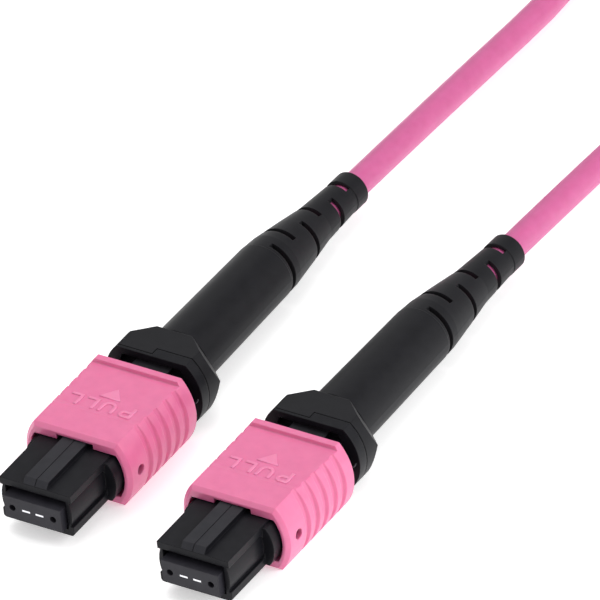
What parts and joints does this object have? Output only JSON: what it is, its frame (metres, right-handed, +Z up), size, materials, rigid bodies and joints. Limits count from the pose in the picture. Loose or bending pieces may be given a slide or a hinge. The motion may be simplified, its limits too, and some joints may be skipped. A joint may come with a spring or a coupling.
{
  "type": "mpo patch cable",
  "caption": "Multi-fibre patch cable with a push-pull plug on each end: sprung ferrule and coupling sleeve, keyed housing, slotted boot and a tied coil of round cable.",
  "frame": {"origin": "on the table, midway between the two plugs and midway along them", "axes": "+Y from the ferrules towards the boots and the coil, +X from the left plug to the right plug, +Z up"},
  "size_m": [0.0435, 0.1542, 0.0073],
  "materials": {
    "sleeve_plastic": "satin",
    "housing_plastic": "satin",
    "ferrule_resin": "matte",
    "fibre": "polished",
    "inner_rubber": "matte",
    "boot_rubber": "matte",
    "spring_steel": "drawn wire",
    "crimp_metal": "plain",
    "yarn": "fibrous",
    "jacket": "satin",
    "tie": "matte"
  },
  "bodies": {
    "plugs_and_cable": {"left_inner_housing": "housing_plastic", "left_coupling_springs": "spring_steel", "left_ferrule_spring": "spring_steel", "left_spring_push": "housing_plastic", "left_strength_yarn": "yarn", "left_crimp_ring": "crimp_metal", "left_boot": "boot_rubber", "left_cable_end": "jacket", "left_cable_run": "jacket", "right_inner_housing": "housing_plastic", "right_coupling_springs": "spring_steel", "right_ferrule_spring": "spring_steel", "right_spring_push": "housing_plastic", "right_strength_yarn": "yarn", "right_crimp_ring": "crimp_metal", "right_boot": "boot_rubber", "right_cable_end": "jacket", "right_cable_run": "jacket", "cable_coil": "jacket", "coil_tie": "tie"},
    "left_sleeve": {"left_coupling_sleeve": "sleeve_plastic"},
    "left_ferrule": {"left_mt_ferrule": "ferrule_resin", "left_fibre_ribbons": "fibre", "left_ferrule_boot": "inner_rubber", "left_pin_keeper": "housing_plastic"},
    "right_sleeve": {"right_coupling_sleeve": "sleeve_plastic"},
    "right_ferrule": {"right_mt_ferrule": "ferrule_resin", "right_fibre_ribbons": "fibre", "right_ferrule_boot": "inner_rubber", "right_pin_keeper": "housing_plastic"}
  },
  "joints": [
    {"name": "left_sleeve_slide", "type": "slide", "parent": "plugs_and_cable", "child": "left_sleeve", "axis": [0, 1, 0], "range_m": [0, 0.0014], "stiffness_N_per_m": 1500, "springref_m": -0.001, "deforming": ["left_coupling_springs"]},
    {"name": "left_ferrule_slide", "type": "slide", "parent": "plugs_and_cable", "child": "left_ferrule", "axis": [0, 1, 0], "range_m": [0, 0.0006], "stiffness_N_per_m": 4000, "springref_m": -0.002, "deforming": ["left_ferrule_spring"]},
    {"name": "right_sleeve_slide", "type": "slide", "parent": "plugs_and_cable", "child": "right_sleeve", "axis": [0, 1, 0], "range_m": [0, 0.0014], "stiffness_N_per_m": 1500, "springref_m": -0.001, "deforming": ["right_coupling_springs"]},
    {"name": "right_ferrule_slide", "type": "slide", "parent": "plugs_and_cable", "child": "right_ferrule", "axis": [0, 1, 0], "range_m": [0, 0.0006], "stiffness_N_per_m": 4000, "springref_m": -0.002, "deforming": ["right_ferrule_spring"]}
  ]
}
